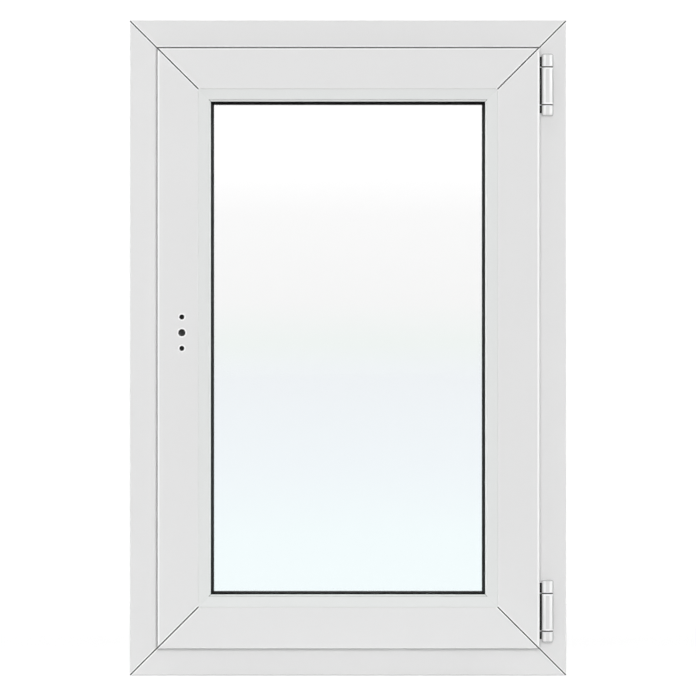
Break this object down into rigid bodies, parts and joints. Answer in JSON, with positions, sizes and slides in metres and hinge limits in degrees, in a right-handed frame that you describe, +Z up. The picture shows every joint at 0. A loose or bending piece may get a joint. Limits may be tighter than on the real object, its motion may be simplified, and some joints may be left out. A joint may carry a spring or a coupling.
{
  "type": "casement window",
  "caption": "White uPVC side-hung casement window with a mitred frame, an inward-opening glazed sash, barrel hinges and a drilled place for a handle.",
  "frame": {"origin": "middle of the outer frame's underside: mid-width and mid-depth of the sill profile", "axes": "+X along the width towards the hinge side, +Z up, -Y towards the room"},
  "size_m": [0.6, 0.0945, 0.9],
  "materials": {
    "white_upvc": "satin white extruded uPVC with a faint die-line texture",
    "bead_upvc": "satin white extruded uPVC, a hair greyer than the frame",
    "white_hinge_coating": "white powder coat, satin",
    "black_gasket": "matt black",
    "clear_glass": "clear float glass",
    "spacer_aluminium": "mill finish",
    "edge_sealant": "matt black",
    "packer_plastic": "moulded, matt",
    "bush_plastic": "moulded, matt",
    "galvanised_steel": "hot-dip zinc, dull",
    "silver_coated_steel": "silver passivated, satin",
    "hardened_steel": "bright zinc plated",
    "zinc_casting": "die-cast zinc, dull",
    "zinc_screws": "bright zinc plated"
  },
  "bodies": {
    "frame": {"frame_sill": "white_upvc", "frame_head": "white_upvc", "frame_lock_jamb": "white_upvc", "frame_hinge_jamb": "white_upvc", "frame_sill_steel": "galvanised_steel", "frame_head_steel": "galvanised_steel", "frame_lock_steel": "galvanised_steel", "frame_hinge_steel": "galvanised_steel", "frame_steel_screws": "zinc_screws", "frame_stop_seal": "black_gasket", "keeps": "zinc_casting", "keep_screws": "zinc_screws", "drain_caps": "white_upvc", "upper_hinge_frame_leaf": "white_hinge_coating", "lower_hinge_frame_leaf": "white_hinge_coating", "hinge_frame_screws": "zinc_screws", "upper_hinge_pin": "hardened_steel", "lower_hinge_pin": "hardened_steel"},
    "sash": {"sash_bottom_rail": "white_upvc", "sash_top_rail": "white_upvc", "sash_lock_stile": "white_upvc", "sash_hinge_stile": "white_upvc", "sash_bottom_steel": "galvanised_steel", "sash_top_steel": "galvanised_steel", "sash_lock_steel": "galvanised_steel", "sash_hinge_steel": "galvanised_steel", "sash_steel_screws": "zinc_screws", "sash_overlap_seal": "black_gasket", "bead_bottom": "bead_upvc", "bead_top": "bead_upvc", "bead_lock": "bead_upvc", "bead_hinge": "bead_upvc", "bead_gasket": "black_gasket", "outer_glazing_gasket": "black_gasket", "inner_pane": "clear_glass", "outer_pane": "clear_glass", "spacer_bar": "spacer_aluminium", "edge_sealant": "edge_sealant", "setting_blocks": "packer_plastic", "upper_hinge_sash_leaf": "white_hinge_coating", "lower_hinge_sash_leaf": "white_hinge_coating", "hinge_sash_screws": "zinc_screws", "hinge_bushes": "bush_plastic", "hinge_caps": "white_hinge_coating", "gear_case_room": "zinc_casting", "gear_case_weather": "zinc_casting", "gear_rivets": "zinc_screws", "lock_faceplate": "silver_coated_steel", "top_faceplate": "silver_coated_steel", "bottom_faceplate": "silver_coated_steel", "faceplate_screws": "zinc_screws", "corner_guides": "zinc_casting", "corner_bands": "hardened_steel"},
    "spindle": {"spindle_hub": "zinc_casting"},
    "lock_drive": {"lock_rail": "silver_coated_steel", "lock_cams": "hardened_steel"},
    "top_drive": {"top_rail": "silver_coated_steel", "top_cam": "hardened_steel"},
    "bottom_drive": {"bottom_rail": "silver_coated_steel", "bottom_cam": "hardened_steel"}
  },
  "joints": [
    {"name": "sash_swing", "type": "hinge", "parent": "frame", "child": "sash", "pos_m": [0.274, -0.0448, 0.45], "axis": [0, 0, 1], "range_deg": [0, 100]},
    {"name": "handle_turn", "type": "hinge", "parent": "sash", "child": "spindle", "pos_m": [-0.228, -0.025, 0.471], "axis": [0, 1, 0], "range_deg": [0, 90]},
    {"name": "lock_rail_slide", "type": "slide", "parent": "sash", "child": "lock_drive", "axis": [0, 0, 1], "range_m": [0, 0.018]},
    {"name": "top_rail_slide", "type": "slide", "parent": "sash", "child": "top_drive", "axis": [1, 0, 0], "range_m": [0, 0.0181]},
    {"name": "bottom_rail_slide", "type": "slide", "parent": "sash", "child": "bottom_drive", "axis": [-1, 0, 0], "range_m": [0, 0.0181]}
  ],
  "couplings": [
    {"joint": "handle_turn", "follows": "lock_rail_slide", "rad_per_m": 87.266},
    {"joint": "top_rail_slide", "follows": "lock_rail_slide", "ratio": 1},
    {"joint": "bottom_rail_slide", "follows": "lock_rail_slide", "ratio": 1}
  ]
}
